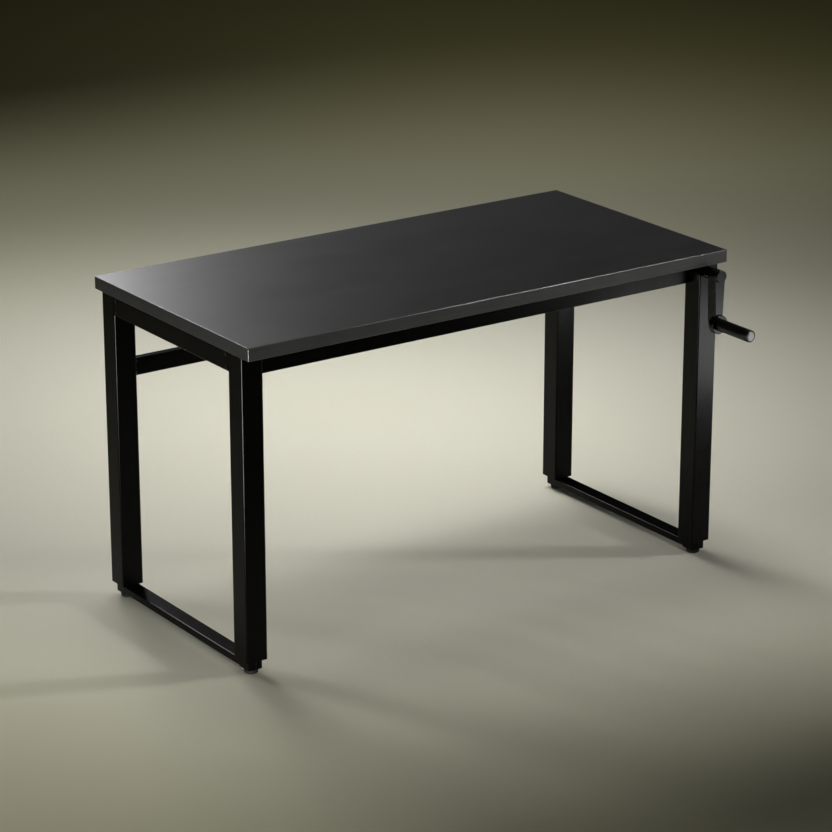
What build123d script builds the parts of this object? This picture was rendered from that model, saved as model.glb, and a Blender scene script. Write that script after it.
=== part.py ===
from build123d import *
import math
import os

# A crank-height-adjustable drafting table.  All lengths are millimetres, +X is to the right of a
# person who stands at the crank side, +Y points away from that person and +Z is up.  The pieces
# are laid out about the middle of the table's footprint and shifted by FRAME_SHIFT_Y on saving,
# so that the frame's origin is the middle of the whole object's box, at floor level.

# Table top
TOP_LENGTH = 1219.0
TOP_DEPTH = 608.0
TOP_THICKNESS = 28.0
TABLE_HEIGHT = 711.0
LAMINATE = 0.8
EDGE_BAND = 2.0
EDGE_RADIUS = 1.8

# Upper frame
COLUMN = 50.0
COLUMN_WALL = 2.0
COLUMN_CORNER = 3.0
CORNER_EASE = 0.3
COLUMN_BOTTOM = 31.0
END_INSET = 1.0
FRONT_INSET = 28.0
RAIL_HEIGHT = 40.0
REAR_RAIL_HEIGHT = 38.0
REAR_RAIL_TOP = 529.0
RAIL_DEPTH = 20.0
RAIL_WALL = 1.5
RAIL_CORNER = 2.0
RAIL_BLOCK_LENGTH = 30.0
BLOCK_CLEARANCE = 0.2
BLOCK_CORNER = 1.0

# Lower frames
INNER_TUBE = 34.0
INNER_WALL = 2.0
INNER_CORNER = 2.5
INNER_BOTTOM = 10.0
INNER_TOP = 618.0
FOOT_RAIL_WIDTH = 36.0
FOOT_RAIL_HEIGHT = 16.0
FOOT_RAIL_BOTTOM = 12.5
FOOT_INSERT_HEIGHT = 22.0
GLIDE_LENGTH = 36.0
GLIDE_CLEARANCE = 0.3
GLIDE_SETBACK = 4.0
PLUG_CLEARANCE = 0.2
FITTING_CORNER = 1.5
FITTING_INSET = 1.0
PLUG_CORNER = 1.2

# Levelling feet
FOOT_RADIUS = 14.5
FOOT_HEIGHT = 8.0
STUD_RADIUS = 4.0
STUD_HEX = 13.0
STUD_TOP = 30.0
STUD_SEAT = 3.0
FOOT_EDGE_RADIUS = 1.5

# Lifting gear
SHAFT_Z = 664.0
SHAFT_RADIUS = 3.0
SCREW_RADIUS = 6.0
SCREW_BOTTOM = 285.0
JOURNAL_RADIUS = 5.0
COLLAR_RADIUS = 9.0
BEARING_BOTTOM = 631.0
BEARING_TOP = 645.0
SCREW_TOP = 654.5
THRUST_RADIUS = 10.0
THRUST_HEIGHT = 4.0
NUT_FLANGE = 3.0
NUT_LENGTH = 30.0
SCREW_GEAR_TEETH = 20
PINION_TEETH = 16
DRIVE_MODULE = 1.2
DRIVE_FACE = 3.5
CRANK_MODULE = 0.7
CRANK_FACE = 2.2
SCREW_GEAR_HUB = 3.0
PINION_HUB = 4.0
PAIR_GEAR_HUB = 1.5
CRANK_GEAR_HUB = 2.0
BUSH_RADIUS = 5.5
BUSH_FLANGE_RADIUS = 7.0
BUSH_FLANGE = 1.5
SHAFT_OVERRUN = 18.0
CROSS_SHAFT_START = 7.0
SIDE_SHAFT_START = 9.0
PRESSURE_ANGLE = 20.0
TOOTH_SHARE = 0.42
DEDENDUM = 1.25
TOOTH_FOOT = 1.4
HUB_SHARE = 0.7

# Fits: FIT is a running fit and TIGHT a driven one; OVERCUT carries a cut past a face
FIT = 0.05
TIGHT = 0.02
OVERCUT = 1.0

# Crank
CRANK_INBOARD = 40.0
CRANK_GAP = 31.0
ARM_LENGTH = 108.0
ARM_THICKNESS = 25.0
HUB_RADIUS = 14.0
ARM_TIP_WIDTH = 19.5
ARM_EDGE_RADIUS = 1.2
TIP_BOSS_RADIUS = 21.0
TIP_BOSS_THICKNESS = 15.0
CAP_PROUD = 4.5
CRANK_SHAFT_RADIUS = 5.0
CRANK_TAIL_RADIUS = 2.5
CRANK_TAIL_LENGTH = 11.0
CRANK_TAIL_START = 4.5
BEARING_BOSS_RADIUS = 13.0
BOSS_CHAMFER = 1.0
CRANK_BUSH_RADIUS = 6.5
CRANK_BUSH_LENGTHS = (10.0, 11.0)
ARM_CLEARANCE = 1.0
CAP_EDGE_RADIUS = 0.8
GRIP_RADIUS = 13.5
GRIP_LENGTH = 100.0
SPINDLE_RADIUS = 4.0
GRIP_CAP_RADIUS = 10.5
GRIP_CAP_DEPTH = 3.0
GRIP_EDGE_RADIUS = 2.0
SPINDLE_HEAD_RADIUS = 7.0
SPINDLE_HEAD = 4.0
SPINDLE_HEAD_DEPTH = 5.0
SPINDLE_HEAD_CLEARANCE = 0.3

# Fasteners
RAIL_SCREW_RADIUS = 2.4
RAIL_SCREW_HEAD = 3.2
RAIL_SCREW_HEAD_HEIGHT = 0.8
RAIL_SCREW_REACH = 14.0
RAIL_SCREW_SOCKET = 2.5
RAIL_SCREW_SPREAD = 13.0
RAIL_SCREW_INSET = 8.0
TOP_SCREW_RADIUS = 2.2
TOP_SCREW_HEAD = 4.5
TOP_SCREW_HEAD_HEIGHT = 3.0
TOP_SCREW_SOCKET = 4.0
HEAD_CLEARANCE = 1.0
TOP_SCREW_REACH = 17.0
TOP_SCREWS_ALONG_FRONT = (-480.0, -160.0, 160.0, 480.0)
TOP_SCREWS_ALONG_ENDS = (-180.0, 0.0, 180.0)
SOCKET_DEPTH_SHARE = 0.2

# Places that follow from the sizes above
UNDERSIDE = TABLE_HEIGHT - TOP_THICKNESS
COLUMN_FACE_X = TOP_LENGTH / 2 - END_INSET
COLUMN_FACE_Y = TOP_DEPTH / 2 - FRONT_INSET
COLUMN_X = COLUMN_FACE_X - COLUMN / 2
COLUMN_Y = COLUMN_FACE_Y - COLUMN / 2
RAIL_Z = UNDERSIDE - RAIL_HEIGHT / 2
RAIL_X = COLUMN_FACE_X - RAIL_DEPTH / 2
RAIL_Y = COLUMN_FACE_Y - RAIL_DEPTH / 2
REAR_RAIL_Z = REAR_RAIL_TOP - REAR_RAIL_HEIGHT / 2
CRANK_X = COLUMN_FACE_X - CRANK_INBOARD
ARM_REAR_Y = -COLUMN_FACE_Y - CRANK_GAP
ARM_FRONT_Y = ARM_REAR_Y - ARM_THICKNESS
BOSS_FRONT_Y = ARM_FRONT_Y - CAP_PROUD
GRIP_BACK_Y = BOSS_FRONT_Y - ARM_CLEARANCE
GRIP_FRONT_Y = GRIP_BACK_Y - GRIP_LENGTH
GRIP_Z = SHAFT_Z - ARM_LENGTH
FRAME_SHIFT_Y = (-GRIP_FRONT_Y - TOP_DEPTH / 2) / 2

CORNERS = {
    "front_left": (-1, -1),
    "front_right": (1, -1),
    "rear_left": (-1, 1),
    "rear_right": (1, 1),
}


# ---------------------------------------------------------------- helpers
def save(name, *solids):
    """Write one sub-part, moved into the finished frame."""
    placed = [Pos(0, FRAME_SHIFT_Y, 0) * solid for solid in solids]
    shape = placed[0] if len(placed) == 1 else Compound(children=placed)
    export_step(shape, f"parts/{name}.step")


def box_between(low, high):
    """A box from its lowest to its highest corner."""
    size = [b - a for a, b in zip(low, high)]
    middle = [(a + b) / 2 for a, b in zip(low, high)]
    return Pos(*middle) * Box(*size)


def tube(width, depth, length, wall, corner):
    """A rounded rectangular tube that stands on the XY plane."""
    outline = RectangleRounded(width, depth, corner)
    hollow = RectangleRounded(width - 2 * wall, depth - 2 * wall, corner - wall + CORNER_EASE)
    return extrude(outline - hollow, length)


def sleeve(outer, inner, length, corner):
    """A square sleeve with rounded outer corners that stands on the XY plane."""
    return extrude(RectangleRounded(outer, outer, corner) - Rectangle(inner, inner), length)


def rod(radius, start, end):
    """A round bar between two points that differ along one axis."""
    axis = Vector(*end) - Vector(*start)
    place = Plane(origin=start, z_dir=axis).location
    return place * Cylinder(radius, axis.length, align=(Align.CENTER, Align.CENTER, Align.MIN))


def hexagon_bar(across_flats, length):
    """A hexagonal bar that stands on the XY plane."""
    return extrude(RegularPolygon(across_flats / math.sqrt(3), 6), length)


def washer(outer, inner, height):
    """A ring that stands on the XY plane."""
    return extrude(Circle(outer) - Circle(inner), height)


def socket_screw(head_radius, head_height, shank_radius, reach, hexagon):
    """A screw whose head lies above the XY plane and whose shank points down."""
    head = extrude(Circle(head_radius), head_height)
    shank = extrude(Circle(shank_radius), -reach)
    socket_bottom = head_height - SOCKET_DEPTH_SHARE * hexagon
    socket = Pos(0, 0, socket_bottom) * hexagon_bar(hexagon, hexagon)
    return head + shank - socket


def facing(point, direction):
    """The place whose own +Z points along direction."""
    return Plane(origin=point, z_dir=direction).location


# ---------------------------------------------------------------- bevel gears
def bevel_gear(teeth, mate_teeth, module, face, bore, hub_length):
    """A bevel gear for shafts at a right angle: its apex is the origin, its back points along +Z.

    Its first tooth points along +X.
    """
    radius, mate_radius = teeth * module / 2, mate_teeth * module / 2
    slant = math.hypot(radius, mate_radius)
    along = (radius / slant, mate_radius / slant)
    inner = 1 - face / slant
    flank = math.tan(math.radians(PRESSURE_ANGLE))
    pitch_half_width = TOOTH_SHARE * math.pi * module / 2

    def level(height):
        """Radius and distance from the apex, height above the pitch cone at its large end."""
        return radius + height * along[1], mate_radius - height * along[0]

    root_radius, root_z = level(-DEDENDUM * module)
    hub_radius = HUB_SHARE * radius
    profile = Polyline(
        (bore, 0, inner * root_z),
        (inner * root_radius, 0, inner * root_z),
        (root_radius, 0, root_z),
        (hub_radius, 0, root_z),
        (hub_radius, 0, root_z + hub_length),
        (bore, 0, root_z + hub_length),
        close=True,
    )
    blank = revolve(make_face(profile), Axis.Z)

    def tooth_end(scale):
        corners = []
        for height, first in ((-TOOTH_FOOT * module, -1), (module, 1)):
            half_width = pitch_half_width - height * flank
            r, z = level(height)
            corners += [(r, first * half_width, z), (r, -first * half_width, z)]
        return make_face(Polyline(*[tuple(scale * c for c in p) for p in corners], close=True))

    tooth = loft([tooth_end(1.0), tooth_end(inner)], ruled=True)
    return blank.fuse(*[Rot(0, 0, 360 * i / teeth) * tooth for i in range(teeth)])


def half_tooth(gear, teeth):
    """The same gear turned so that a gap, not a tooth, points along +X."""
    return Rot(0, 0, 180 / teeth) * gear


def placed_gear(gear, apex, outward):
    """Put a gear at its apex with its back along outward, one of its quarter turns upright."""
    side = (1, 0, 0) if outward[2] else (0, 0, 1)
    return Plane(origin=apex, x_dir=side, z_dir=outward).location * gear


# ---------------------------------------------------------------- table top
def top_screw_places():
    """The places of the screws that hold the top, over the front and end rails."""
    front = [(x, -RAIL_Y) for x in TOP_SCREWS_ALONG_FRONT]
    ends = [(side * RAIL_X, y) for side in (-1, 1) for y in TOP_SCREWS_ALONG_ENDS]
    return front + ends


def table_top():
    half_x, half_y = TOP_LENGTH / 2 - EDGE_BAND, TOP_DEPTH / 2 - EDGE_BAND
    core_low, core_high = UNDERSIDE + LAMINATE, TABLE_HEIGHT - LAMINATE
    core = box_between((-half_x, -half_y, core_low), (half_x, half_y, core_high))
    backer = box_between((-half_x, -half_y, UNDERSIDE), (half_x, half_y, core_low))
    pilots = [
        rod(TOP_SCREW_RADIUS + FIT, (x, y, UNDERSIDE - OVERCUT), (x, y, UNDERSIDE + TOP_SCREW_REACH))
        for x, y in top_screw_places()
    ]
    save("tabletop_core", core.cut(*pilots))
    save("underside_backer", backer.cut(*pilots))
    save("top_laminate", box_between((-half_x, -half_y, core_high), (half_x, half_y, TABLE_HEIGHT)))


def edge_bands():
    """Four strips with rounded outer edges: the long ones run over the ends of the short ones."""
    outer_x, outer_y = TOP_LENGTH / 2, TOP_DEPTH / 2
    inner_x, inner_y = outer_x - EDGE_BAND, outer_y - EDGE_BAND
    front = box_between((-outer_x, -outer_y, UNDERSIDE), (outer_x, -inner_y, TABLE_HEIGHT))
    front_edges = front.faces().sort_by(Axis.Y)[0].edges()
    end_edges = front.edges().filter_by(Axis.Y)
    front = fillet(front_edges + end_edges, EDGE_RADIUS)
    left = box_between((-outer_x, -inner_y, UNDERSIDE), (-inner_x, inner_y, TABLE_HEIGHT))
    left_edges = left.faces().sort_by(Axis.X)[0].edges().filter_by(Axis.Y)
    left = fillet(left_edges, EDGE_RADIUS)
    save("edge_bands_long", front, Rot(0, 0, 180) * front)
    save("edge_bands_short", left, Rot(0, 0, 180) * left)


# ---------------------------------------------------------------- upper frame
def rail_screw_heights(middle):
    return (middle - RAIL_SCREW_SPREAD, middle + RAIL_SCREW_SPREAD)


def bush_holes():
    """Where a drive shaft passes a column wall: corner, point on the wall, direction outwards."""
    wall_x = COLUMN_X - COLUMN / 2
    wall_y = COLUMN_Y - COLUMN / 2
    holes = []
    for side in (-1, 1):
        name = "left" if side < 0 else "right"
        holes.append((f"front_{name}", (side * wall_x, -COLUMN_Y, SHAFT_Z), (-side, 0, 0)))
        holes.append((f"front_{name}", (side * COLUMN_X, -wall_y, SHAFT_Z), (0, 1, 0)))
        holes.append((f"rear_{name}", (side * COLUMN_X, wall_y, SHAFT_Z), (0, -1, 0)))
    return holes


def shaft_bush():
    """A flanged bush in a wall whose outer face is the XY plane, with its flange inside."""
    bore = SHAFT_RADIUS + FIT
    flange = Pos(0, 0, -COLUMN_WALL - BUSH_FLANGE) * washer(BUSH_FLANGE_RADIUS, bore, BUSH_FLANGE)
    body = Pos(0, 0, -COLUMN_WALL) * washer(BUSH_RADIUS, bore, COLUMN_WALL)
    return flange + body


def columns():
    length = UNDERSIDE - COLUMN_BOTTOM
    blank = tube(COLUMN, COLUMN, length, COLUMN_WALL, COLUMN_CORNER)
    for name, (side_x, side_y) in CORNERS.items():
        column = Pos(side_x * COLUMN_X, side_y * COLUMN_Y, COLUMN_BOTTOM) * blank
        cuts = [
            facing(point, outward) * Cylinder(BUSH_RADIUS + FIT, 3 * COLUMN_WALL)
            for corner, point, outward in bush_holes()
            if corner == name
        ]
        if name == "front_right":
            wall = facing((CRANK_X, -COLUMN_FACE_Y, SHAFT_Z), (0, 1, 0))
            cuts.append(wall * Cylinder(CRANK_BUSH_RADIUS + FIT, 3 * COLUMN_WALL))
        save(f"column_{name}", column.cut(*cuts))
    save("shaft_bushes", *[facing(p, out) * shaft_bush() for _, p, out in bush_holes()])


def rail_screws_on(rail_x, rail_y, rail_z, outward):
    """Two places for each rail end, on the face that outward points from."""
    return [
        (Vector(rail_x, rail_y, z) + Vector(*outward) * (RAIL_DEPTH / 2), outward)
        for z in rail_screw_heights(rail_z)
    ]


def rail_screw_places():
    """Outer faces of the end rails, rear face of the front rail and front face of the rear one."""
    end_y = COLUMN_Y - COLUMN / 2 - RAIL_SCREW_INSET
    end_x = COLUMN_X - COLUMN / 2 - 2 * RAIL_SCREW_INSET
    places = []
    for side in (-1, 1):
        for y in (-end_y, end_y):
            places += rail_screws_on(side * RAIL_X, y, RAIL_Z, (side, 0, 0))
        places += rail_screws_on(side * end_x, -RAIL_Y, RAIL_Z, (0, 1, 0))
        places += rail_screws_on(side * end_x, RAIL_Y, REAR_RAIL_Z, (0, -1, 0))
    return places


def rail_screw():
    head = (RAIL_SCREW_HEAD, RAIL_SCREW_HEAD_HEIGHT)
    return socket_screw(*head, RAIL_SCREW_RADIUS, RAIL_SCREW_REACH, RAIL_SCREW_SOCKET)


def top_screw():
    head = (TOP_SCREW_HEAD, TOP_SCREW_HEAD_HEIGHT)
    reach = TOP_SCREW_REACH - RAIL_WALL
    return socket_screw(*head, TOP_SCREW_RADIUS, reach, TOP_SCREW_SOCKET)


def along_x(section, length, y, z):
    """Lay a standing tube along X, centred."""
    return Pos(-length / 2, y, z) * Rot(0, 90, 0) * section


def along_y(section, length, x, z):
    """Lay a standing tube along Y, centred."""
    return Pos(x, length / 2, z) * Rot(90, 0, 0) * section


def rails():
    span_x = 2 * (COLUMN_X - COLUMN / 2)
    span_y = 2 * (COLUMN_Y - COLUMN / 2)
    front = tube(RAIL_HEIGHT, RAIL_DEPTH, span_x, RAIL_WALL, RAIL_CORNER)
    rear = tube(REAR_RAIL_HEIGHT, RAIL_DEPTH, span_x, RAIL_WALL, RAIL_CORNER)
    end = tube(RAIL_DEPTH, RAIL_HEIGHT, span_y, RAIL_WALL, RAIL_CORNER)
    holes = [
        facing(point, outward) * Cylinder(RAIL_SCREW_RADIUS + FIT, 4 * RAIL_WALL)
        for point, outward in rail_screw_places()
    ]
    for x, y in top_screw_places():
        upper_wall = facing((x, y, UNDERSIDE), (0, 0, 1))
        lower_wall = facing((x, y, UNDERSIDE - RAIL_HEIGHT), (0, 0, 1))
        holes.append(upper_wall * Cylinder(TOP_SCREW_RADIUS + FIT, 4 * RAIL_WALL))
        holes.append(lower_wall * Cylinder(TOP_SCREW_HEAD + HEAD_CLEARANCE, 4 * RAIL_WALL))
    save("front_rail", along_x(front, span_x, -RAIL_Y, RAIL_Z).cut(*holes))
    save("rear_rail", along_x(rear, span_x, RAIL_Y, REAR_RAIL_Z).cut(*holes))
    save("end_rail_left", along_y(end, span_y, -RAIL_X, RAIL_Z).cut(*holes))
    save("end_rail_right", along_y(end, span_y, RAIL_X, RAIL_Z).cut(*holes))


def rail_block(size, axis):
    """A block that fills a rail's end, rounded along the rail's own direction."""
    block = Box(*size)
    return fillet(block.edges().filter_by(axis), BLOCK_CORNER)


def rail_blocks_and_screws():
    """The blocks that the rails slide over, fixed to the columns, and the screws into them."""
    thick = RAIL_DEPTH - 2 * RAIL_WALL - BLOCK_CLEARANCE
    tall = RAIL_HEIGHT - 2 * RAIL_WALL - BLOCK_CLEARANCE
    rear_tall = REAR_RAIL_HEIGHT - 2 * RAIL_WALL - BLOCK_CLEARANCE
    face_x = COLUMN_X - COLUMN / 2
    face_y = COLUMN_Y - COLUMN / 2
    reach = RAIL_BLOCK_LENGTH
    blocks = []
    for side in (-1, 1):
        x = side * (face_x - reach / 2)
        blocks.append(Pos(x, -RAIL_Y, RAIL_Z) * rail_block((reach, thick, tall), Axis.X))
        blocks.append(Pos(x, RAIL_Y, REAR_RAIL_Z) * rail_block((reach, thick, rear_tall), Axis.X))
        for y in (-face_y + reach / 2, face_y - reach / 2):
            end_block = rail_block((thick, reach, tall), Axis.Y)
            blocks.append(Pos(side * RAIL_X, y, RAIL_Z) * end_block)
    places = rail_screw_places()
    bore = Cylinder(RAIL_SCREW_RADIUS + FIT, 2 * (RAIL_SCREW_REACH + RAIL_WALL))
    holes = [facing(point, outward) * bore for point, outward in places]
    save("rail_end_blocks", *[block.cut(*holes) for block in blocks])
    save("rail_screws", *[facing(p, out) * rail_screw() for p, out in places])
    head_z = UNDERSIDE - RAIL_WALL
    screws = [facing((x, y, head_z), (0, 0, -1)) * top_screw() for x, y in top_screw_places()]
    save("top_screws", *screws)


def column_fittings():
    """The plastic glides at the column feet, the screw bearings and their thrust rings."""
    hollow = COLUMN - 2 * COLUMN_WALL - PLUG_CLEARANCE
    glide = sleeve(hollow, INNER_TUBE + 2 * GLIDE_CLEARANCE, GLIDE_LENGTH, FITTING_CORNER)
    block = extrude(RectangleRounded(hollow, hollow, FITTING_CORNER), BEARING_TOP - BEARING_BOTTOM)
    block = block - Cylinder(JOURNAL_RADIUS + FIT, 4 * (BEARING_TOP - BEARING_BOTTOM))
    thrust = washer(THRUST_RADIUS, JOURNAL_RADIUS + FIT, THRUST_HEIGHT - 2 * FIT)
    spots = [(side_x * COLUMN_X, side_y * COLUMN_Y) for side_x, side_y in CORNERS.values()]
    save("column_glides", *[Pos(x, y, COLUMN_BOTTOM + FITTING_INSET) * glide for x, y in spots])
    save("screw_bearings", *[Pos(x, y, BEARING_BOTTOM) * block for x, y in spots])
    thrust_z = BEARING_BOTTOM - THRUST_HEIGHT + 2 * FIT
    save("thrust_rings", *[Pos(x, y, thrust_z) * thrust for x, y in spots])


# ---------------------------------------------------------------- lower frames
def lower_frames():
    blank = tube(INNER_TUBE, INNER_TUBE, INNER_TOP - INNER_BOTTOM, INNER_WALL, INNER_CORNER)
    for name, (side_x, side_y) in CORNERS.items():
        place = Pos(side_x * COLUMN_X, side_y * COLUMN_Y, INNER_BOTTOM)
        save(f"inner_tube_{name}", place * blank)
    span = 2 * (COLUMN_Y - INNER_TUBE / 2)
    section = tube(FOOT_RAIL_WIDTH, FOOT_RAIL_HEIGHT, span, RAIL_WALL, RAIL_CORNER)
    z = FOOT_RAIL_BOTTOM + FOOT_RAIL_HEIGHT / 2
    save("foot_rail_left", along_y(section, span, -COLUMN_X, z))
    save("foot_rail_right", along_y(section, span, COLUMN_X, z))


def lower_fittings():
    """The glides and nuts at the top of the inner tubes and the threaded inserts at the foot."""
    spots = [(side_x * COLUMN_X, side_y * COLUMN_Y) for side_x, side_y in CORNERS.values()]
    hollow = COLUMN - 2 * COLUMN_WALL - 2 * GLIDE_CLEARANCE
    glide = sleeve(hollow, INNER_TUBE + 2 * FIT, GLIDE_LENGTH, FITTING_CORNER)
    plug_size = INNER_TUBE - 2 * INNER_WALL - PLUG_CLEARANCE
    plug = RectangleRounded(plug_size, plug_size, PLUG_CORNER)
    nut = extrude(plug, -NUT_LENGTH) + extrude(Rectangle(INNER_TUBE, INNER_TUBE), NUT_FLANGE)
    nut = nut - Cylinder(SCREW_RADIUS + FIT, 4 * NUT_LENGTH)
    insert = extrude(plug, FOOT_INSERT_HEIGHT) - Cylinder(STUD_RADIUS + FIT, 4 * FOOT_INSERT_HEIGHT)
    glide_z = INNER_TOP - GLIDE_LENGTH - GLIDE_SETBACK
    save("inner_glides", *[Pos(x, y, glide_z) * glide for x, y in spots])
    save("lead_nuts", *[Pos(x, y, INNER_TOP) * nut for x, y in spots])
    save("foot_inserts", *[Pos(x, y, INNER_BOTTOM) * insert for x, y in spots])


def levelling_feet():
    pad = fillet(rod(FOOT_RADIUS, (0, 0, 0), (0, 0, FOOT_HEIGHT)).edges(), FOOT_EDGE_RADIUS)
    pad = pad - rod(STUD_RADIUS + FIT, (0, 0, STUD_SEAT), (0, 0, FOOT_HEIGHT + OVERCUT))
    stud = rod(STUD_RADIUS, (0, 0, STUD_SEAT), (0, 0, STUD_TOP))
    hexagon_height = INNER_BOTTOM - FOOT_HEIGHT - GLIDE_CLEARANCE
    hexagon = Pos(0, 0, FOOT_HEIGHT) * hexagon_bar(STUD_HEX, hexagon_height)
    for name, (side_x, side_y) in CORNERS.items():
        place = Pos(side_x * COLUMN_X, side_y * COLUMN_Y, 0)
        save(f"foot_pad_{name}", place * pad)
        save(f"foot_stud_{name}", place * (stud + hexagon))


# ---------------------------------------------------------------- lifting gear
def lead_screws(gear):
    collar_top = BEARING_BOTTOM - THRUST_HEIGHT
    for name, (side_x, side_y) in CORNERS.items():
        x, y = side_x * COLUMN_X, side_y * COLUMN_Y
        screw = rod(SCREW_RADIUS, (x, y, SCREW_BOTTOM), (x, y, collar_top))
        screw += rod(COLLAR_RADIUS, (x, y, collar_top - THRUST_HEIGHT), (x, y, collar_top))
        screw += rod(JOURNAL_RADIUS, (x, y, collar_top), (x, y, SCREW_TOP))
        save(f"lead_screw_{name}", screw)
        save(f"screw_gear_{name}", placed_gear(gear, (x, y, SHAFT_Z), (0, 0, -1)))


def drive_shafts(pinion, crank_pair_gear):
    """The cross shaft behind the front rail and the two side shafts beside the end rails."""
    y = -COLUMN_Y
    start = (-COLUMN_X + CROSS_SHAFT_START, y, SHAFT_Z)
    save("cross_shaft", rod(SHAFT_RADIUS, start, (COLUMN_X + SHAFT_OVERRUN, y, SHAFT_Z)))
    save(
        "cross_shaft_gears",
        placed_gear(pinion, (-COLUMN_X, y, SHAFT_Z), (1, 0, 0)),
        placed_gear(pinion, (COLUMN_X, y, SHAFT_Z), (1, 0, 0)),
        placed_gear(crank_pair_gear, (CRANK_X, y, SHAFT_Z), (1, 0, 0)),
    )
    for name, side in (("left", -1), ("right", 1)):
        x = side * COLUMN_X
        start = (x, -COLUMN_Y + SIDE_SHAFT_START, SHAFT_Z)
        save(f"side_shaft_{name}", rod(SHAFT_RADIUS, start, (x, COLUMN_Y + SHAFT_OVERRUN, SHAFT_Z)))
        save(
            f"side_shaft_gears_{name}",
            placed_gear(pinion, (x, -COLUMN_Y, SHAFT_Z), (0, 1, 0)),
            placed_gear(pinion, (x, COLUMN_Y, SHAFT_Z), (0, 1, 0)),
        )


def lifting_gear():
    drive = (DRIVE_MODULE, DRIVE_FACE)
    crank_pair = (PINION_TEETH, PINION_TEETH, CRANK_MODULE, CRANK_FACE)
    screw_bore, shaft_bore = JOURNAL_RADIUS + TIGHT, SHAFT_RADIUS + TIGHT
    screw_gear = bevel_gear(SCREW_GEAR_TEETH, PINION_TEETH, *drive, screw_bore, SCREW_GEAR_HUB)
    pinion = bevel_gear(PINION_TEETH, SCREW_GEAR_TEETH, *drive, shaft_bore, PINION_HUB)
    pair_gear = bevel_gear(*crank_pair, shaft_bore, PAIR_GEAR_HUB)
    crank_gear = bevel_gear(*crank_pair, CRANK_TAIL_RADIUS + TIGHT, CRANK_GEAR_HUB)
    lead_screws(screw_gear)
    drive_shafts(half_tooth(pinion, PINION_TEETH), half_tooth(pair_gear, PINION_TEETH))
    save("crank_gear", placed_gear(crank_gear, (CRANK_X, -COLUMN_Y, SHAFT_Z), (0, -1, 0)))


# ---------------------------------------------------------------- crank
def crank_bearing():
    """The round boss on the column that carries the crank shaft, with a bush at each end."""
    back = -COLUMN_FACE_Y
    front = ARM_REAR_Y + ARM_CLEARANCE
    boss = rod(BEARING_BOSS_RADIUS, (CRANK_X, back, SHAFT_Z), (CRANK_X, front, SHAFT_Z))
    hollow_start = (CRANK_X, back + OVERCUT, SHAFT_Z)
    boss -= rod(CRANK_BUSH_RADIUS + FIT, hollow_start, (CRANK_X, front - OVERCUT, SHAFT_Z))
    front_edge = boss.faces().sort_by(Axis.Y)[0].edges().sort_by(SortBy.LENGTH)[-1]
    save("crank_bearing_boss", chamfer(front_edge, BOSS_CHAMFER))
    front_length, back_length = CRANK_BUSH_LENGTHS
    back_start = back + COLUMN_WALL + OVERCUT - back_length
    bore = CRANK_SHAFT_RADIUS + FIT
    bushes = [
        facing((CRANK_X, y, SHAFT_Z), (0, 1, 0)) * washer(CRANK_BUSH_RADIUS, bore, length)
        for y, length in ((front, front_length), (back_start, back_length))
    ]
    save("crank_bushes", *bushes)


def crank_arm():
    """A round hub, a tapering bar and a round tip boss that carries the grip."""
    front_plane = Plane(origin=(CRANK_X, ARM_REAR_Y, SHAFT_Z), x_dir=(1, 0, 0), z_dir=(0, -1, 0))
    taper = Polygon(
        (-HUB_RADIUS, 0),
        (HUB_RADIUS, 0),
        (ARM_TIP_WIDTH / 2, -ARM_LENGTH),
        (-ARM_TIP_WIDTH / 2, -ARM_LENGTH),
        align=None,
    )
    bar = extrude(front_plane.location * taper, ARM_THICKNESS, dir=(0, -1, 0))
    arm = bar + rod(HUB_RADIUS, (CRANK_X, ARM_REAR_Y, SHAFT_Z), (CRANK_X, ARM_FRONT_Y, SHAFT_Z))
    rim = arm.faces().sort_by(Axis.Y)[0].edges()
    rim = rim.filter_by(lambda edge: edge.center().Z > GRIP_Z + OVERCUT)
    tip_back = BOSS_FRONT_Y + TIP_BOSS_THICKNESS
    tip = rod(TIP_BOSS_RADIUS, (CRANK_X, tip_back, GRIP_Z), (CRANK_X, BOSS_FRONT_Y, GRIP_Z))
    tip = fillet(tip.edges().filter_by(GeomType.CIRCLE), ARM_EDGE_RADIUS)
    arm = fillet(rim, ARM_EDGE_RADIUS) + tip
    for z, radius in ((SHAFT_Z, CRANK_SHAFT_RADIUS), (GRIP_Z, SPINDLE_RADIUS)):
        arm -= rod(radius + TIGHT, (CRANK_X, ARM_REAR_Y + OVERCUT, z), (CRANK_X, GRIP_FRONT_Y, z))
    return arm


def crank():
    save("crank_arm", crank_arm())
    cap_start = (CRANK_X, ARM_FRONT_Y, SHAFT_Z)
    cap = rod(HUB_RADIUS - CORNER_EASE, cap_start, (CRANK_X, BOSS_FRONT_Y, SHAFT_Z))
    cap = fillet(cap.edges().sort_by(Axis.Y)[0], CAP_EDGE_RADIUS)
    save("crank_hub_cap", cap)
    tail = (CRANK_X, -COLUMN_Y - CRANK_TAIL_START, SHAFT_Z)
    shoulder = (CRANK_X, tail[1] - CRANK_TAIL_LENGTH, SHAFT_Z)
    shaft = rod(CRANK_SHAFT_RADIUS, shoulder, cap_start)
    shaft += rod(CRANK_TAIL_RADIUS, tail, shoulder)
    save("crank_shaft", shaft)
    spindle_back = (CRANK_X, BOSS_FRONT_Y + TIP_BOSS_THICKNESS, GRIP_Z)
    head_back = (CRANK_X, GRIP_FRONT_Y + GRIP_CAP_DEPTH + SPINDLE_HEAD_DEPTH, GRIP_Z)
    head_front = (CRANK_X, head_back[1] - SPINDLE_HEAD, GRIP_Z)
    spindle = rod(SPINDLE_RADIUS, spindle_back, head_back)
    spindle += rod(SPINDLE_HEAD_RADIUS, head_back, head_front)
    save("grip_spindle", spindle)


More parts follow.
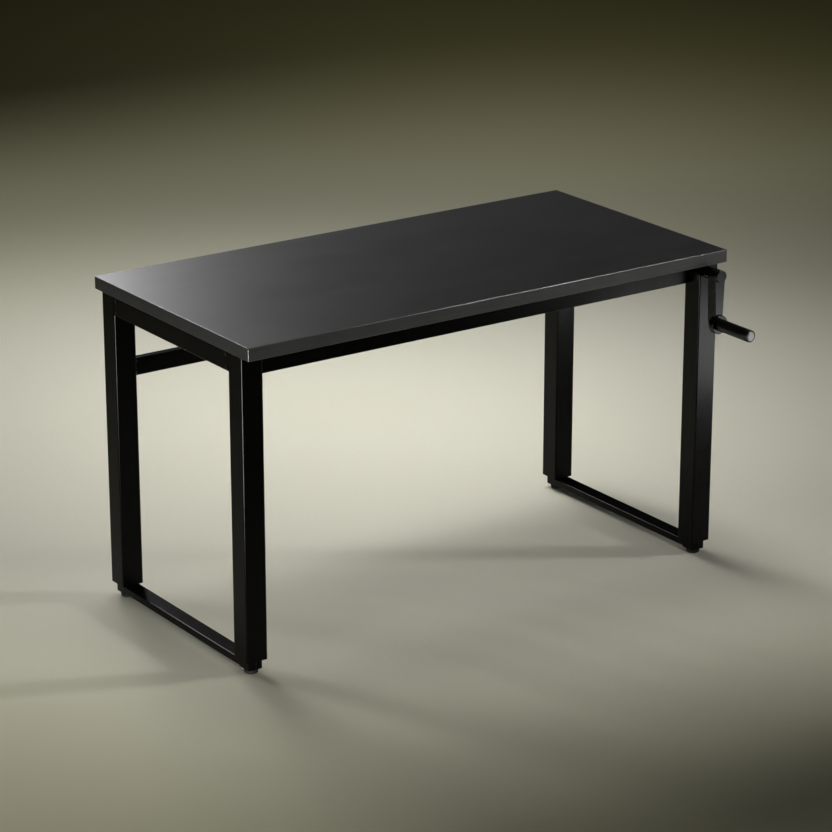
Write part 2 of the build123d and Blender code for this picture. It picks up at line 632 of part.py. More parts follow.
def grip():
    """The turning sleeve, with a pocket for the spindle's head, and the cap that closes it."""
    start, end = (CRANK_X, GRIP_BACK_Y, GRIP_Z), (CRANK_X, GRIP_FRONT_Y, GRIP_Z)
    cap_back = (CRANK_X, GRIP_FRONT_Y + GRIP_CAP_DEPTH, GRIP_Z)
    pocket_back = (CRANK_X, cap_back[1] + SPINDLE_HEAD_DEPTH + SPINDLE_HEAD_CLEARANCE, GRIP_Z)
    sleeve_body = rod(GRIP_RADIUS, start, end)
    sleeve_body = fillet(sleeve_body.edges().filter_by(GeomType.CIRCLE), GRIP_EDGE_RADIUS)
    sleeve_body -= rod(SPINDLE_RADIUS + FIT, (CRANK_X, GRIP_BACK_Y + OVERCUT, GRIP_Z), end)
    sleeve_body -= rod(SPINDLE_HEAD_RADIUS + SPINDLE_HEAD_CLEARANCE, pocket_back, end)
    sleeve_body -= rod(GRIP_CAP_RADIUS + TIGHT, cap_back, end)
    save("grip_sleeve", sleeve_body)
    save("grip_end_cap", rod(GRIP_CAP_RADIUS, cap_back, end))


def main():
    os.makedirs("parts", exist_ok=True)
    table_top()
    edge_bands()
    columns()
    rails()
    rail_blocks_and_screws()
    column_fittings()
    lower_frames()
    lower_fittings()
    levelling_feet()
    lifting_gear()
    crank_bearing()
    crank()
    grip()


main()
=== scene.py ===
import math

import bpy
from mathutils import Matrix, Vector


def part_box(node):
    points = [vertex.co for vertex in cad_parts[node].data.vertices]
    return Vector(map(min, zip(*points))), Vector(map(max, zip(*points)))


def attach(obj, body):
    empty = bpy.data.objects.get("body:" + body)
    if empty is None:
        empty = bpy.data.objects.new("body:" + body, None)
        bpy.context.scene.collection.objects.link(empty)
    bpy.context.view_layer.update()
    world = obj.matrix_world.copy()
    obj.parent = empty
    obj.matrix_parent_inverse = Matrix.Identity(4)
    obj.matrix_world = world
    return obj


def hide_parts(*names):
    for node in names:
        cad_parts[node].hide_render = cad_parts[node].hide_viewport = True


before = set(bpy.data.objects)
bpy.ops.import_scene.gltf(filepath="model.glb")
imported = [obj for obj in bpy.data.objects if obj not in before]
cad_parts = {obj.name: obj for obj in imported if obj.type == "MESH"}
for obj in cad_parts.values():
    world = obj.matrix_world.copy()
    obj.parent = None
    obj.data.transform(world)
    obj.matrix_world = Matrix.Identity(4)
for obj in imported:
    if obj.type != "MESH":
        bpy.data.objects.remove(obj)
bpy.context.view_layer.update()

# The looks of a crank-height-adjustable drafting table, in metres, in the frame of its CAD model.
# Places come from the CAD nodes' boxes; the sizes below are those of the looks alone.

CORNERS = ("front_left", "front_right", "rear_left", "rear_right")

# Camera, at the photograph's view angle
CAMERA_AZIMUTH = math.radians(-34.9)
CAMERA_ELEVATION = math.radians(19.13)
CAMERA_DISTANCE = 6.802
CAMERA_LENS = 135.5
CAMERA_SENSOR = 36.0
CAMERA_REACH = 200.0
CAMERA_AIM = Vector((0.0119, 0.0144, 0.3586))

# Studio
FLOOR_REACH = 40.0
# Centre of the floor's pool of light; the floor's painted olive shade grows with distance from
# here.
POOL_OF_LIGHT = (0.5, 0.9, 0)
BACKDROP = (0.12, 0.115, 0.085, 1)
AMBIENT = (0.9, 0.87, 0.75, 1)
AMBIENT_STRENGTH = 0.012

# Levelling pads. Each rim point is (inset from the radius, distance from the end face).
PAD_RIM = ((0.0022, 0.0), (0.001, 0.0003), (0.0003, 0.001))
PAD_CENTRE = 0.0002
PAD_FLUTES = 30
PAD_FLUTE_DEPTH = 0.0005
PAD_FLUTES_FROM, PAD_FLUTES_TO = 0.0022, 0.0062
PAD_FLUTE_STEPS = 8
PAD_STEPS = 6 * PAD_FLUTES

# Weld beads
BEAD_RADIUS = 0.0015
BEAD_SIDES = 12
BEAD_RIPPLE = 0.0018
BEAD_LOW, BEAD_SWELL = 0.9, 0.14
BEAD_END = 0.4
BEAD_STEP = 0.0004
BEAD_INSET = 0.001
BEAD_START = 0.002

# Turning grip and its cap. Each end point is (inset from the radius, distance from the end face).
GRIP_STEPS = 96
GRIP_BORE = 0.3
GRIP_INNER_END = ((0.002, 0.0), (0.0007, 0.0006), (0.0001, 0.0017), (0.0, 0.003))
GRIP_OUTER_END = ((0.0, 0.0026), (0.0003, 0.0012), (0.001, 0.0003), (0.002, 0.0))
GROOVE = ((0.0, -0.0007), (0.0003, -0.0005), (0.0005, 0.0), (0.0003, 0.0005), (0.0, 0.0007))
GROOVE_FROM_END = 0.008
CAP_DEPTH = 0.0028
CAP_GAP = 0.0001
CAP_CENTRE = 0.0001
CAP_RIM = ((0.0001, 0.0009), (0.0004, 0.0003), (0.0012, 0.0))
CAP_RING = ((0.68, 0.0), (0.66, 0.0002), (0.62, 0.0002), (0.60, 0.0))

SMOOTH_ANGLE = math.radians(35)

# Limits in the materials: the range that most of a noise lies in, and the cosines that stand for an
# open face and a full edge, against the rounded normal and against the nearest axis.
NOISE_RANGE = (0.3, 0.7)
EDGE_COSINES = (0.985, 0.86)
CORNER_COSINES = (0.99, 0.85)
BEVEL_SAMPLES = 4


# ---------------------------------------------------------------- places
def middle(node):
    low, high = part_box(node)
    return (low + high) / 2


def size(node):
    low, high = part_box(node)
    return high - low


TABLE = Vector((middle("top_laminate").x, middle("top_laminate").y, 0))


# ---------------------------------------------------------------- material nodes
class Finish:
    """A material whose colour, roughness and relief come from procedural nodes."""

    def __init__(self, name, metallic=0.0, specular=0.5):
        self.material = bpy.data.materials.new(name)
        self.material.use_nodes = True
        self.tree = self.material.node_tree
        self.shader = self.tree.nodes["Principled BSDF"]
        self.shader.inputs["Metallic"].default_value = metallic
        self.shader.inputs["Specular IOR Level"].default_value = specular
        self.place = self.node("ShaderNodeTexCoord").outputs["Object"]
        self.relief = None

    def node(self, kind, settings=None, **inputs):
        node = self.tree.nodes.new(kind)
        for name, value in (settings or {}).items():
            setattr(node, name, value)
        for name, value in inputs.items():
            self.feed(node.inputs[name.replace("_", " ")], value)
        return node

    def feed(self, socket, value):
        if isinstance(value, bpy.types.NodeSocket):
            self.tree.links.new(value, socket)
        else:
            socket.default_value = value

    def stretched(self, x, y, z):
        """Coordinates that draw a texture out along the axes with small numbers."""
        return self.node("ShaderNodeMapping", Vector=self.place, Scale=(x, y, z)).outputs[0]

    def noise(self, scale, detail, place=None, distortion=0.0):
        vector = place or self.place
        inputs = dict(Vector=vector, Scale=scale, Detail=detail, Distortion=distortion)
        return self.node("ShaderNodeTexNoise", **inputs).outputs["Fac"]

    def cells(self, scale, feature="F1"):
        """The distance from each cell's centre."""
        settings = {"feature": feature}
        node = self.node("ShaderNodeTexVoronoi", settings, Vector=self.place, Scale=scale)
        return node.outputs["Distance"]

    def cell_shade(self, scale, place=None):
        """One grey value for each cell."""
        node = self.node("ShaderNodeTexVoronoi", Vector=place or self.place, Scale=scale)
        return self.node("ShaderNodeSeparateColor", Color=node.outputs["Color"]).outputs["Red"]

    def math(self, operation, a, b):
        node = self.node("ShaderNodeMath", {"operation": operation})
        self.feed(node.inputs[0], a)
        self.feed(node.inputs[1], b)
        return node.outputs[0]

    def spread(self, factor, start, end, low=0.0, high=1.0):
        """The part of factor from start to end, mapped to low to high."""
        node = self.node("ShaderNodeMapRange", Value=factor)
        limits = {"From Min": start, "From Max": end, "To Min": low, "To Max": high}
        for name, value in limits.items():
            node.inputs[name].default_value = value
        return node.outputs[0]

    def soft(self, noise, low=0.0, high=1.0):
        """The range that most of a noise lies in, mapped to low to high."""
        return self.spread(noise, *NOISE_RANGE, low, high)

    def mix(self, factor, a, b):
        # A colour mix node takes its colours at sockets 6 and 7 and gives its result at socket 2.
        node = self.node("ShaderNodeMix", {"data_type": "RGBA"})
        self.feed(node.inputs[0], factor)
        for socket, colour in ((node.inputs[6], a), (node.inputs[7], b)):
            linked = isinstance(colour, bpy.types.NodeSocket)
            self.feed(socket, colour if linked else (*colour, 1.0))
        return node.outputs[2]

    def edges(self, radius):
        """1 along sharp edges, 0 on open faces."""
        rounded = self.node("ShaderNodeBevel", {"samples": BEVEL_SAMPLES}, Radius=radius).outputs[0]
        true = self.node("ShaderNodeNewGeometry").outputs["Normal"]
        node = self.node("ShaderNodeVectorMath", {"operation": "DOT_PRODUCT"})
        self.feed(node.inputs[0], rounded)
        self.feed(node.inputs[1], true)
        return self.spread(node.outputs["Value"], *EDGE_COSINES)

    def corners(self):
        """1 on the rounded corners between a square-cut piece's faces, 0 on those faces."""
        normal = self.node("ShaderNodeTexCoord").outputs["Normal"]
        facing = self.node("ShaderNodeVectorMath", {"operation": "ABSOLUTE"})
        self.feed(facing.inputs[0], normal)
        parts = self.node("ShaderNodeSeparateXYZ", Vector=facing.outputs[0]).outputs
        largest = self.math("MAXIMUM", self.math("MAXIMUM", parts[0], parts[1]), parts[2])
        return self.spread(largest, *CORNER_COSINES)

    def colour(self, value):
        self.feed(self.shader.inputs["Base Color"], value)

    def roughness(self, value):
        self.feed(self.shader.inputs["Roughness"], value)

    def bump(self, height, depth, strength):
        """Add relief; depth is in metres."""
        node = self.node("ShaderNodeBump", Height=height, Distance=depth, Strength=strength)
        if self.relief is not None:
            self.feed(node.inputs["Normal"], self.relief)
        self.relief = node.outputs[0]
        self.feed(self.shader.inputs["Normal"], self.relief)


def grey(value, warmth=0.0):
    """A near-neutral colour, a little warmer or cooler."""
    return (value * (1 + warmth), value, value * (1 - warmth))


# ---------------------------------------------------------------- materials
def laminate():
    """Charcoal satin laminate with a fine pearl texture and faint wiping marks."""
    finish = Finish("top_laminate")
    clouds = finish.noise(5.0, 5.0)
    grain = finish.noise(1300.0, 2.0)
    pearls = finish.cells(620.0, feature="SMOOTH_F1")
    wiping = finish.noise(11.0, 4.0, finish.stretched(0.5, 1.2, 1.0), 0.6)
    tone = finish.mix(finish.soft(clouds), grey(0.011, -0.01), grey(0.0145, -0.01))
    fleck = finish.spread(grain, 0.56, 0.78)
    finish.colour(finish.mix(fleck, tone, grey(0.042, -0.01)))
    broad = finish.soft(wiping, 0.375, 0.4)
    fine = finish.soft(grain, -0.02, 0.02)
    finish.roughness(finish.math("ADD", broad, fine))
    finish.bump(pearls, 0.00004, 0.35)
    finish.bump(grain, 0.00003, 0.35)
    return finish.material


def edge_banding():
    """Solid charcoal edging, extruded lengthways, with tool marks; its rounded corners are painted
    pale, partly as stress-whitened trim and partly as a painted highlight.
    """
    finish = Finish("edge_band", specular=0.3)
    clouds = finish.noise(14.0, 4.0)
    lines = finish.noise(160.0, 3.0, finish.stretched(0.03, 0.03, 8.0))
    grain = finish.noise(1500.0, 2.0)
    tone = finish.mix(finish.soft(clouds), grey(0.056, 0.01), grey(0.068, 0.01))
    tone = finish.mix(finish.spread(lines, 0.5, 0.75, 0.0, 0.5), tone, grey(0.14, 0.01))
    # Painted highlight: the rounded corners are coloured pale, partly stress-whitened trim and
    # partly a highlight line along the edges; the same mask also makes them smoother.
    highlight_and_polish = finish.corners()
    finish.colour(finish.mix(highlight_and_polish, tone, grey(0.2)))
    rough = finish.soft(grain, 0.5, 0.58)
    finish.roughness(finish.math("SUBTRACT", rough, finish.spread(highlight_and_polish, 0.0, 1.0, 0.0, 0.34)))
    finish.bump(lines, 0.00003, 0.3)
    finish.bump(grain, 0.00003, 0.35)
    return finish.material


def backer():
    """Matt black balancing sheet under the top."""
    finish = Finish("backer", specular=0.35)
    clouds = finish.noise(8.0, 5.0)
    grain = finish.noise(900.0, 3.0)
    tone = finish.mix(finish.soft(clouds), grey(0.014), grey(0.022))
    finish.colour(finish.mix(finish.spread(grain, 0.5, 0.75, 0.0, 0.6), tone, grey(0.04)))
    finish.roughness(finish.soft(clouds, 0.55, 0.68))
    finish.bump(grain, 0.00008, 0.5)
    return finish.material


def particleboard():
    """Pressed wood chips, seen where screws and cuts open the board."""
    finish = Finish("particleboard", specular=0.3)
    chips = finish.cell_shade(420.0, finish.stretched(1.0, 0.6, 2.2))
    fibre = finish.noise(900.0, 4.0, finish.stretched(0.3, 1.0, 1.0))
    tone = finish.mix(chips, (0.28, 0.17, 0.085), (0.52, 0.37, 0.21))
    tone = finish.mix(finish.spread(fibre, 0.35, 0.7, 0.0, 0.6), tone, (0.16, 0.09, 0.045))
    finish.colour(tone)
    finish.roughness(finish.soft(fibre, 0.75, 0.92))
    finish.bump(chips, 0.0002, 0.6)
    finish.bump(fibre, 0.0001, 0.5)
    return finish.material


def powder_coat(name, scuffs):
    """Black semi-gloss powder coat: orange peel, pits, rubbed edges and fine upright scuffs."""
    finish = Finish(name, specular=0.08)
    clouds = finish.noise(7.0, 5.0)
    peel = finish.noise(260.0, 2.0)
    pits = finish.cells(900.0)
    grain = finish.noise(1600.0, 2.0)
    lines = finish.noise(420.0, 2.0, finish.stretched(1.0, 1.0, 0.02))
    tone = finish.mix(finish.soft(clouds), grey(0.0024, 0.03), grey(0.0041, 0.03))
    tone = finish.mix(finish.spread(grain, 0.6, 0.8, 0.0, 0.5), tone, grey(0.0096, 0.03))
    tone = finish.mix(finish.spread(lines, 0.58, 0.72, 0.0, scuffs), tone, grey(0.02, 0.03))
    patches = finish.spread(finish.noise(45.0, 4.0), 0.5, 0.72, 0.0, 0.7)
    rub = finish.math("MULTIPLY", finish.edges(0.0015), patches)
    finish.colour(finish.mix(rub, tone, grey(0.05, 0.02)))
    broad = finish.soft(clouds, 0.2, 0.25)
    fine = finish.soft(grain, -0.015, 0.015)
    scuffed = finish.spread(lines, 0.58, 0.72, 0.0, 0.15 * scuffs)
    finish.roughness(finish.math("ADD", finish.math("ADD", broad, fine), scuffed))
    finish.bump(peel, 0.00006, 0.25)
    finish.bump(finish.spread(pits, 0.0, 0.35), 0.00002, 0.25)
    return finish.material


def moulded(name, base, roughness, specular=0.5, spark=700.0):
    """Injection-moulded plastic with a spark-eroded skin and slight flow marks."""
    finish = Finish(name, specular=specular)
    flow = finish.noise(30.0, 4.0, finish.stretched(1.0, 0.35, 1.0), 0.8)
    skin = finish.cells(spark)
    grain = finish.noise(2.2 * spark, 2.0)
    tone = finish.mix(finish.soft(flow), grey(0.85 * base), grey(1.2 * base))
    rub = finish.math("MULTIPLY", finish.edges(0.0008), finish.soft(grain, 0.2, 0.6))
    finish.colour(finish.mix(rub, tone, grey(min(2.5 * base, 0.6))))
    finish.roughness(finish.soft(flow, *roughness))
    finish.bump(skin, 0.00006, 0.4)
    finish.bump(grain, 0.00003, 0.3)
    return finish.material


def rubber():
    """Dull black rubber with dust and floor grit pressed in."""
    finish = Finish("foot_rubber", specular=0.2)
    dust = finish.noise(120.0, 5.0)
    grit = finish.noise(900.0, 3.0)
    tone = finish.mix(finish.spread(dust, 0.45, 0.75), grey(0.005), grey(0.012, 0.05))
    finish.colour(finish.mix(finish.spread(grit, 0.62, 0.8), tone, grey(0.03, 0.06)))
    finish.roughness(finish.soft(dust, 0.7, 0.86))
    finish.bump(grit, 0.0001, 0.5)
    return finish.material


def zinc():
    """Passivated zinc plate: cloudy, faintly yellow, with fine grain."""
    finish = Finish("zinc_steel", metallic=1.0)
    spangle = finish.cell_shade(260.0)
    haze = finish.noise(60.0, 4.0)
    tone = finish.mix(spangle, (0.42, 0.43, 0.44), (0.6, 0.61, 0.6))
    finish.colour(finish.mix(finish.spread(haze, 0.45, 0.7, 0.0, 0.5), tone, (0.5, 0.47, 0.38)))
    finish.roughness(finish.soft(haze, 0.28, 0.45))
    finish.bump(finish.noise(1400.0, 2.0), 0.00003, 0.4)
    return finish.material


def bronze():
    """Sintered bronze with oil in its pores."""
    finish = Finish("bronze", metallic=1.0)
    oil = finish.noise(180.0, 4.0)
    pores = finish.cells(1800.0)
    tone = finish.mix(finish.spread(oil, 0.35, 0.7), (0.42, 0.25, 0.1), (0.2, 0.11, 0.045))
    finish.colour(finish.mix(finish.spread(pores, 0.12, 0.0), tone, (0.04, 0.025, 0.015)))
    finish.roughness(finish.spread(oil, 0.35, 0.7, 0.38, 0.22))
    finish.bump(pores, 0.00004, 0.5)
    return finish.material


def cast(name, base, metallic, roughness):
    """Die-cast metal with a slightly wavy skin."""
    finish = Finish(name, metallic=metallic)
    skin = finish.noise(420.0, 4.0)
    waves = finish.noise(60.0, 3.0)
    tone = finish.mix(finish.soft(waves), grey(0.85 * base, 0.01), grey(1.15 * base, 0.01))
    rub = finish.math("MULTIPLY", finish.edges(0.001), finish.spread(waves, 0.4, 0.65, 0.1, 0.7))
    finish.colour(finish.mix(rub, tone, grey(min(1.8 * base, 0.7))))
    finish.roughness(finish.soft(skin, *roughness))
    finish.bump(skin, 0.00012, 0.5)
    finish.bump(waves, 0.0003, 0.2)
    return finish.material


def machined(name, tone_a, tone_b, roughness, turning=(1.0, 1.0, 30.0)):
    """Turned or cut steel with fine tool lines and a film of oil."""
    finish = Finish(name, metallic=1.0)
    lines = finish.noise(220.0, 3.0, finish.stretched(*turning))
    oil = finish.noise(90.0, 4.0)
    tone = finish.mix(finish.spread(oil, 0.35, 0.7), tone_a, tone_b)
    finish.colour(finish.mix(finish.spread(lines, 0.5, 0.75, 0.0, 0.4), tone, (0.2, 0.19, 0.17)))
    finish.roughness(finish.spread(oil, 0.35, 0.7, *roughness))
    finish.bump(lines, 0.00002, 0.5)
    return finish.material


def crank_coat():
    """A black coat like the frame's, laid over a casting."""
    finish = Finish("crank_casting", specular=0.13)
    skin = finish.noise(300.0, 4.0)
    clouds = finish.noise(25.0, 4.0)
    tone = finish.mix(finish.soft(clouds), grey(0.003, 0.03), grey(0.006, 0.03))
    patches = finish.spread(finish.noise(90.0, 4.0), 0.45, 0.7, 0.0, 0.7)
    rub = finish.math("MULTIPLY", finish.edges(0.0012), patches)
    finish.colour(finish.mix(rub, tone, grey(0.02, 0.02)))
    finish.roughness(finish.soft(clouds, 0.24, 0.3))
    finish.bump(skin, 0.0001, 0.3)
    return finish.material


def floor_finish():
    """Plain pale studio floor with painted shade: it turns a darker olive away from the pool of
    light.
    """
    finish = Finish("studio_floor", specular=0.0)
    clouds = finish.noise(0.6, 3.0)
    grain = finish.noise(90.0, 3.0)
    shift = tuple(-at for at in POOL_OF_LIGHT)
    centred = finish.node("ShaderNodeMapping", Vector=finish.place, Location=shift)
    painted_shade_reach = finish.node("ShaderNodeVectorMath", {"operation": "LENGTH"})
    finish.feed(painted_shade_reach.inputs[0], centred.outputs[0])
    tone = finish.mix(finish.soft(clouds), (0.72, 0.7, 0.585), (0.75, 0.73, 0.61))
    # Painted shade: the floor colour turns a darker olive the farther it lies from the pool of
    # light.
    tone = finish.mix(finish.spread(painted_shade_reach.outputs["Value"], 1.2, 4.5), tone, (0.72, 0.68, 0.28))
    finish.colour(finish.mix(finish.soft(grain, 0.0, 0.2), tone, (0.68, 0.65, 0.5)))
    finish.roughness(finish.soft(grain, 0.6, 0.7))
    finish.bump(grain, 0.0001, 0.1)
    return finish.material


STEEL = ((0.55, 0.55, 0.54), (0.4, 0.4, 0.39))
GEAR = ((0.36, 0.35, 0.33), (0.22, 0.21, 0.2))

MATERIALS = {
    "top_laminate": laminate(),
    "edge_band": edge_banding(),
    "backer": backer(),
    "particleboard": particleboard(),
    "frame_paint": powder_coat("frame_paint", 0.1),
    "lower_frame_paint": powder_coat("lower_frame_paint", 0.6),
    "nylon": moulded("nylon", 0.016, (0.42, 0.55)),
    "foot_rubber": rubber(),
    "zinc_steel": zinc(),
    "bronze": bronze(),
    "cast_housing": cast("cast_housing", 0.32, 0.8, (0.42, 0.58)),
    "bright_steel": machined("bright_steel", *STEEL, (0.2, 0.32)),
    "gear_steel": machined("gear_steel", *GEAR, (0.28, 0.42), (8.0, 8.0, 8.0)),
    "black_screws": cast("black_screws", 0.02, 0.6, (0.32, 0.45)),
    "crank_casting": crank_coat(),
    "grip_plastic": moulded("grip_plastic", 0.003, (0.32, 0.4), 0.2),
    "grip_cap": moulded("grip_cap", 0.4, (0.3, 0.42), spark=900.0),
}


def finish_cad_nodes():
    """Give every CAD node the detailed material of its slot."""
    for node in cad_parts.values():
        for slot in node.material_slots:
            slot.material = MATERIALS[slot.material.name.split(".")[0]]


# ---------------------------------------------------------------- pieces
def piece(name, vertices, faces, slot, body, node=None):
    """A smooth-shaded mesh that rides on a body, in place of a CAD node if one is named."""
    mesh = bpy.data.meshes.new(name)
    mesh.from_pydata(vertices, [], faces)
    mesh.polygons.foreach_set("use_smooth", [True] * len(mesh.polygons))
    mesh.set_sharp_from_angle(angle=SMOOTH_ANGLE)
    mesh.materials.append(MATERIALS[slot])
    made = bpy.data.objects.new(name, mesh)
    bpy.context.scene.collection.objects.link(made)
    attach(made, body)
    if node:
        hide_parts(node)


def skin(rings, closed_ends=True):
    """Vertices and faces of a skin over rings of equally many points."""
    count = len(rings[0])
    vertices = [point for ring in rings for point in ring]
    faces = []
    for ring in range(len(rings) - 1):
        for i in range(count):
            a, b = ring * count + i, ring * count + (i + 1) % count
            faces.append((a, b, b + count, a + count))
    if closed_ends:
        faces.append(tuple(reversed(range(count))))
        faces.append(tuple(range(len(vertices) - count, len(vertices))))
    return vertices, faces


def turned(profile, place, steps, radius_at=None):
    """Rings of a turned shape; profile gives radius and height, place sets its axis."""
    rings = []
    for radius, height in profile:
        ring = []
        for i in range(steps):
            angle = 2 * math.pi * i / steps
            r = radius_at(angle, radius, height) if radius_at else radius
            ring.append(place @ Vector((r * math.cos(angle), r * math.sin(angle), height)))
        rings.append(ring)
    return rings


def fluted(angle, radius, height):
    """The radius of a levelling foot's rim, with shallow finger grips."""
    if not PAD_FLUTES_FROM <= height <= PAD_FLUTES_TO:
        return radius
    across = (height - PAD_FLUTES_FROM) / (PAD_FLUTES_TO - PAD_FLUTES_FROM)
    depth = PAD_FLUTE_DEPTH * math.sin(math.pi * across)
    return radius - depth * (0.5 + 0.5 * math.cos(PAD_FLUTES * angle))


def levelling_feet():
    """Pads with a rounded, finger-gripped rim."""
    for corner in CORNERS:
        node = f"foot_pad_{corner}"
        radius, top = size(node).x / 2, size(node).z
        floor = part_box(node)[0].z
        step = (PAD_FLUTES_TO - PAD_FLUTES_FROM) / PAD_FLUTE_STEPS
        profile = [
            (PAD_CENTRE, 0.0),
            *((radius - inset, height) for inset, height in PAD_RIM),
            *((radius, PAD_FLUTES_FROM + i * step) for i in range(PAD_FLUTE_STEPS + 1)),
            *((radius - inset, top - height) for inset, height in reversed(PAD_RIM)),
            (PAD_CENTRE, top),
        ]
        place = Matrix.Translation((middle(node).x, middle(node).y, floor))
        rings = turned(profile, place, PAD_STEPS, fluted)
        piece(f"levelling_pad_{corner}", *skin(rings), "foot_rubber", f"foot_{corner}", node)


def bead(points, normal):
    """Rings of a rippled weld bead along a line of points."""
    rings = []
    travelled = 0.0
    for index, point in enumerate(points):
        ahead = points[min(index + 1, len(points) - 1)] - points[max(index - 1, 0)]
        side = ahead.normalized().cross(normal)
        ripple = 0.5 + 0.5 * math.cos(2 * math.pi * travelled / BEAD_RIPPLE)
        radius = BEAD_RADIUS * (BEAD_LOW + BEAD_SWELL * ripple)
        if index in (0, len(points) - 1):
            radius *= BEAD_END
        angles = [2 * math.pi * i / BEAD_SIDES for i in range(BEAD_SIDES)]
        rings.append([point + radius * (math.cos(a) * side + math.sin(a) * normal) for a in angles])
        travelled += BEAD_STEP
    return rings


def weld_beads():
    """The beads that join each foot rail to its two inner tubes: up one side, over and down."""
    for side in ("left", "right"):
        low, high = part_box(f"foot_rail_{side}")
        for end, y, normal in (("front", low.y, 1), ("rear", high.y, -1)):
            corners = [
                Vector((low.x + BEAD_INSET, y, low.z + BEAD_START)),
                Vector((low.x + BEAD_INSET, y, high.z)),
                Vector((high.x - BEAD_INSET, y, high.z)),
                Vector((high.x - BEAD_INSET, y, low.z + BEAD_START)),
            ]
            line = []
            for start, stop in zip(corners, corners[1:]):
                count = max(2, round((stop - start).length / BEAD_STEP))
                line += [start.lerp(stop, i / count) for i in range(count)]
            line.append(corners[-1])
            rings = bead(line, Vector((0, normal, 0)))
            piece(f"weld_bead_{side}_{end}", *skin(rings), "lower_frame_paint", "base")


def crank_grip():
    """The turning grip, with rounded ends and a ring near its end, and its moulded cap."""
    radius, length = size("grip_sleeve").x / 2, size("grip_sleeve").y
    inner_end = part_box("grip_sleeve")[1].y
    start = Vector((middle("grip_sleeve").x, inner_end, middle("grip_sleeve").z))
    place = Matrix.Translation(start) @ Matrix.Rotation(math.radians(90), 4, "X")
    cap = size("grip_end_cap").x / 2
    groove = length - GROOVE_FROM_END
    seat = length - CAP_DEPTH
    sleeve = [
        (GRIP_BORE * radius, 0.0),
        *((radius - inset, along) for inset, along in GRIP_INNER_END),
        *((radius - inset, groove + along) for inset, along in GROOVE),
        *((radius - inset, length - along) for inset, along in GRIP_OUTER_END),
        (cap + CAP_GAP, length),
        (cap + CAP_GAP, seat),
        (GRIP_BORE * radius, seat),
    ]
    rings = turned(sleeve, place, GRIP_STEPS)
    piece("turned_grip", *skin(rings, False), "grip_plastic", "grip", "grip_sleeve")
    disc = [
        (CAP_CENTRE, seat),
        (cap - CAP_GAP, seat),
        *((cap - inset, length - along) for inset, along in CAP_RIM),
        *((part * cap, length - depth) for part, depth in CAP_RING),
        (CAP_CENTRE, length),
    ]
    rings = turned(disc, place, GRIP_STEPS)
    piece("moulded_grip_cap", *skin(rings), "grip_cap", "grip", "grip_end_cap")


# ---------------------------------------------------------------- studio
def plane(name, corners, material):
    mesh = bpy.data.meshes.new(name)
    mesh.from_pydata(corners, [], [tuple(range(len(corners)))])
    mesh.materials.append(material)
    made = bpy.data.objects.new(name, mesh)
    bpy.context.scene.collection.objects.link(made)
    return made


def studio_floor():
    reach = FLOOR_REACH
    corners = [(-reach, -reach, 0), (reach, -reach, 0), (reach, reach, 0), (-reach, reach, 0)]
    plane("studio_floor", corners, floor_finish())


def softbox(name, place, aim, width, height, power, spread=180.0):
    """An area lamp at place, facing aim; both are from the floor under the table's middle.

    Width and height are in metres, power is in watts and spread in degrees.
    """
    data = bpy.data.lights.new(name, "AREA")
    data.shape = "RECTANGLE"
    data.size = width
    data.size_y = height
    data.energy = power
    data.spread = math.radians(spread)
    lamp = bpy.data.objects.new(name, data)
    lamp.location = TABLE + Vector(place)
    lamp.rotation_euler = (Vector(aim) - Vector(place)).to_track_quat("-Z", "Y").to_euler()
    lamp.visible_camera = False
    bpy.context.scene.collection.objects.link(lamp)
    return lamp


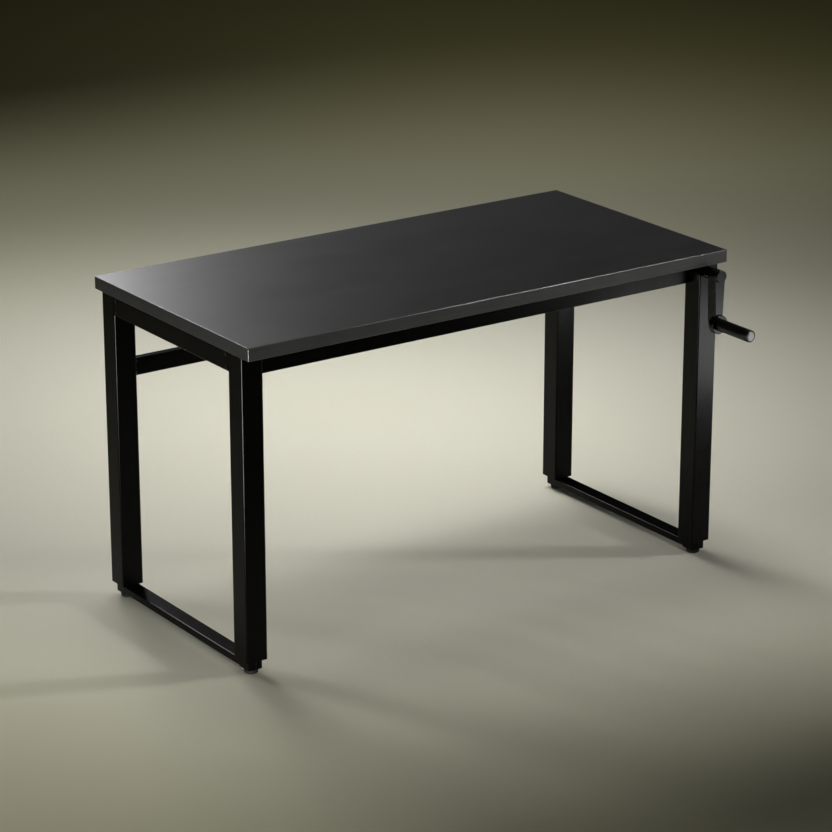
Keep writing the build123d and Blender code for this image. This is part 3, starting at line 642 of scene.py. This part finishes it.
def studio_lights():
    """Fills light the surfaces but show in no reflection; gleams show only in reflections."""
    softbox("rear_flood", (0.1, 3.3, 2.4), (-0.2, 0, 0.4), 1.6, 1.2, 20)
    fills = (
        softbox("rear_key", (0.0, 3.3, 2.4), (0, 0, 0.2), 1.6, 1.2, 13.8, 90),
        softbox("overhead_wide", (0.3, 1.0, 3.4), (0.5, 0.8, 0), 1.2, 1.2, 5.4, 60),
        softbox("overhead_pool", (0.5, 1.3, 2.6), (0.7, 0.7, 0), 0.7, 0.7, 2.1, 60),
        softbox("rear_right_fill", (2.4, 2.8, 2.2), (2.2, 2.2, 0), 1.0, 1.0, 2.2, 110),
        softbox("far_fill", (3.4, 4.0, 3.0), (3.2, 4.0, 0), 1.2, 1.2, 1.2, 110),
        softbox("low_right_key", (2.9, -1.8, 0.9), (-0.8, 0, 0), 0.25, 0.25, 1.9, 30),
        softbox("rear_left_fill", (-1.5, 1.6, 1.4), (-0.85, -0.5, 0), 0.5, 0.5, 0.7, 40),
        softbox("left_fill", (-2.6, -1.1, 0.7), (0, 0, 0.6), 0.6, 1.0, 2, 90),
    )
    for lamp in fills:
        lamp.visible_glossy = False
    gleams = (
        softbox("rear_gleam", (0.0, 3.3, 2.4), (0.35, 0.2, 0), 1.6, 1.2, 25, 80),
        softbox("rear_strip", (0.62, 3.2, 1.95), (-0.2, 0, 0.7), 0.5, 0.8, 2.2, 60),
        softbox("front_right_gleam", (2.0, -1.68, 0.4), (0, 0, 0.4), 0.8, 0.8, 2),
        softbox("low_right_gleam", (1.33, -1.1, 0.14), (0.11, 0.09, 0.14), 0.5, 0.24, 3.6),
        softbox("high_right_gleam", (1.75, -1.0, 2.78), (0.35, -0.1, 0.5), 1.2, 0.14, 26, 90),
        softbox("low_left_gleam", (-1.42, -0.84, 0.21), (-0.6, -0.27, 0.21), 0.4, 0.4, 45),
    )
    for lamp in gleams:
        lamp.visible_diffuse = False


def studio_world():
    """A dim surround, behind a backdrop that only the camera sees."""
    world = bpy.data.worlds.new("studio")
    world.use_nodes = True
    tree = world.node_tree
    backdrop, ambient = tree.nodes["Background"], tree.nodes.new("ShaderNodeBackground")
    backdrop.inputs["Color"].default_value = BACKDROP
    ambient.inputs["Color"].default_value = AMBIENT
    ambient.inputs["Strength"].default_value = AMBIENT_STRENGTH
    seen = tree.nodes.new("ShaderNodeLightPath")
    choice = tree.nodes.new("ShaderNodeMixShader")
    tree.links.new(seen.outputs["Is Camera Ray"], choice.inputs[0])
    tree.links.new(ambient.outputs[0], choice.inputs[1])
    tree.links.new(backdrop.outputs[0], choice.inputs[2])
    tree.links.new(choice.outputs[0], tree.nodes["World Output"].inputs["Surface"])
    bpy.context.scene.world = world


def camera():
    flat = math.cos(CAMERA_ELEVATION)
    side, front = math.sin(CAMERA_AZIMUTH) * flat, -math.cos(CAMERA_AZIMUTH) * flat
    back = Vector((side, front, math.sin(CAMERA_ELEVATION)))
    data = bpy.data.cameras.new("camera")
    data.lens = CAMERA_LENS
    data.sensor_width = CAMERA_SENSOR
    data.clip_end = CAMERA_REACH
    made = bpy.data.objects.new("camera", data)
    made.location = TABLE + CAMERA_AIM + back * CAMERA_DISTANCE
    made.rotation_euler = (-back).to_track_quat("-Z", "Y").to_euler()
    bpy.context.scene.collection.objects.link(made)
    bpy.context.scene.camera = made


finish_cad_nodes()
levelling_feet()
weld_beads()
crank_grip()
studio_floor()
studio_lights()
studio_world()
camera()
bpy.context.scene.view_settings.view_transform = "Standard"
